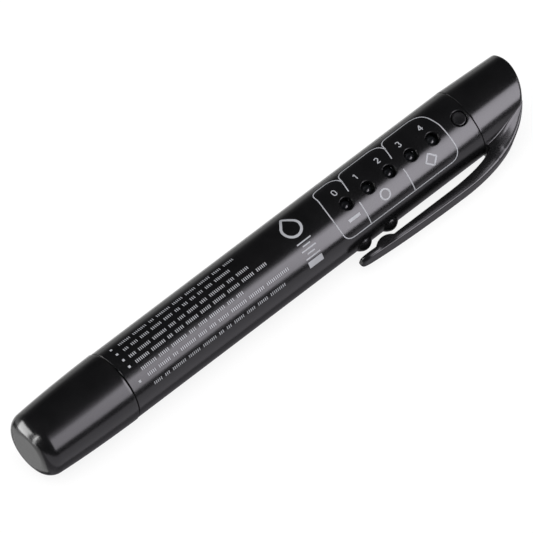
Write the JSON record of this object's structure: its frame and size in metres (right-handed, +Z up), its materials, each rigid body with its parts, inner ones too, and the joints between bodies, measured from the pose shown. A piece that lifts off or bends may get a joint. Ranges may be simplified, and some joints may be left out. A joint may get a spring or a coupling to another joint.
{
  "type": "brake fluid tester",
  "caption": "Pen-shaped brake fluid tester: pull-off cap over metal probes, round barrel with a row of indicator lamps and a push button, end cap with an integral spring clip.",
  "frame": {"origin": "on the resting surface, under the middle of the laid-down pen's box", "axes": "+X along the pen from the protective cap to the end cap, +Z up from the resting surface, the clip towards -Y"},
  "size_m": [0.1504, 0.0228, 0.0184],
  "materials": {
    "shell_plastic": "semi-gloss moulded ABS, black",
    "button_plastic": "satin moulded plastic, black",
    "holder_plastic": "satin moulded plastic, dark grey",
    "board_laminate": "solder mask over glass fibre laminate",
    "chip_plastic": "moulded epoxy with tinned legs",
    "capacitor_ceramic": "ceramic with tinned ends",
    "resistor_ceramic": "ceramic with tinned ends",
    "switch_plastic": "moulded plastic",
    "plunger_plastic": "moulded plastic, off white",
    "lamp_lens": "clear epoxy over a dark chip, unlit",
    "cell_sleeve": "plain printed sleeve over a steel can",
    "contact_nickel": "nickel-plated spring steel",
    "probe_nickel": "polished nickel plate",
    "wire_black": "soft insulation",
    "wire_red": "soft insulation"
  },
  "bodies": {
    "barrel_body": {"barrel": "shell_plastic", "probe_holder": "holder_plastic", "probe_left": "probe_nickel", "probe_right": "probe_nickel", "probe_wire_left": "wire_black", "probe_wire_right": "wire_red", "circuit_board": "board_laminate", "controller_chip": "chip_plastic", "buffer_capacitor": "capacitor_ceramic", "switch_body": "switch_plastic", "positive_contact": "contact_nickel", "led_1": "lamp_lens", "led_2": "lamp_lens", "led_3": "lamp_lens", "led_4": "lamp_lens", "led_5": "lamp_lens", "led_resistor_1": "resistor_ceramic", "led_resistor_2": "resistor_ceramic", "led_resistor_3": "resistor_ceramic", "led_resistor_4": "resistor_ceramic", "led_resistor_5": "resistor_ceramic"},
    "cap_body": {"protective_cap": "shell_plastic"},
    "end_cap_body": {"end_cap": "shell_plastic", "negative_contact": "contact_nickel", "contact_spring": "contact_nickel"},
    "battery_body": {"battery_cell": "cell_sleeve"},
    "button_body": {"power_button": "button_plastic", "switch_plunger": "plunger_plastic"}
  },
  "joints": [
    {"name": "cap_slide", "type": "slide", "parent": "barrel_body", "child": "cap_body", "axis": [-1, 0, 0], "range_m": [0, 0.035]},
    {"name": "end_cap_slide", "type": "slide", "parent": "barrel_body", "child": "end_cap_body", "axis": [1, 0, 0], "range_m": [0, 0.07]},
    {"name": "battery_slide", "type": "slide", "parent": "barrel_body", "child": "battery_body", "axis": [1, 0, 0], "range_m": [0, 0.049]},
    {"name": "button_press", "type": "slide", "parent": "barrel_body", "child": "button_body", "axis": [0, 0.5414, -0.8408], "range_m": [0, 0.0003], "stiffness_N_per_m": 3000}
  ],
  "couplings": [
    {"joint": "battery_slide", "follows": "end_cap_slide", "ratio": 0.7}
  ]
}
